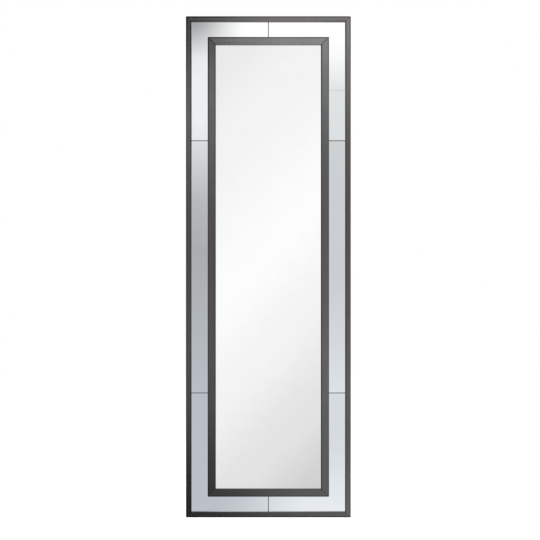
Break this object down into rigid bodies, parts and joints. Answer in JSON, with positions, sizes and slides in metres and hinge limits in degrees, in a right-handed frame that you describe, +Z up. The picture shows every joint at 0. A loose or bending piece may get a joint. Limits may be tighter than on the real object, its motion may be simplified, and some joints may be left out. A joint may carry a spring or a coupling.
{
  "type": "accent mirror",
  "caption": "Tall rectangular wall mirror with a raised inner moulding, a border of mirror panels and a slim dark outer moulding.",
  "frame": {"origin": "centre of the mirror on the plane of the wall, which the rear faces of its bumpers touch", "axes": "+Z up with the mirror upright, the reflecting front faces -Y, +Y points into the wall"},
  "size_m": [0.61, 0.0324, 1.854],
  "materials": {
    "pewter_moulding": "satin dark pewter paint with fine lengthwise streaks",
    "mirror_glass": "polished silvered glass with ground edges",
    "backing_board": "raw fibreboard",
    "spring_steel": "bare",
    "zinc_screws": "bright zinc",
    "zinc_hanger": "zinc plated",
    "steel_ring": "bright drawn wire",
    "bumper_rubber": "matt"
  },
  "bodies": {
    "mirror": {"outer_stile_left": "pewter_moulding", "outer_stile_right": "pewter_moulding", "outer_rail_top": "pewter_moulding", "outer_rail_bottom": "pewter_moulding", "inner_stile_left": "pewter_moulding", "inner_stile_right": "pewter_moulding", "inner_rail_top": "pewter_moulding", "inner_rail_bottom": "pewter_moulding", "outer_corner_nails": "spring_steel", "inner_corner_nails": "spring_steel", "retainer_points": "spring_steel", "main_mirror": "mirror_glass", "border_mirror_left": "mirror_glass", "border_mirror_right": "mirror_glass", "border_mirror_top_left": "mirror_glass", "border_mirror_top_right": "mirror_glass", "border_mirror_bottom_left": "mirror_glass", "border_mirror_bottom_right": "mirror_glass", "backing_board": "backing_board", "inner_frame_screws": "zinc_screws", "hanger_screws": "zinc_screws", "hanger_strap_left": "zinc_hanger", "hanger_strap_right": "zinc_hanger", "wall_bumper_top_left": "bumper_rubber", "wall_bumper_top_right": "bumper_rubber", "wall_bumper_bottom_left": "bumper_rubber", "wall_bumper_bottom_right": "bumper_rubber"},
    "ring_left": {"hanger_ring_left": "steel_ring"},
    "ring_right": {"hanger_ring_right": "steel_ring"}
  },
  "joints": [
    {"name": "ring_left_swing", "type": "hinge", "parent": "mirror", "child": "ring_left", "pos_m": [-0.296, -0.00412, 0.507], "axis": [1, 0, 0], "range_deg": [0, 176]},
    {"name": "ring_right_swing", "type": "hinge", "parent": "mirror", "child": "ring_right", "pos_m": [0.296, -0.00412, 0.507], "axis": [1, 0, 0], "range_deg": [0, 176]}
  ]
}
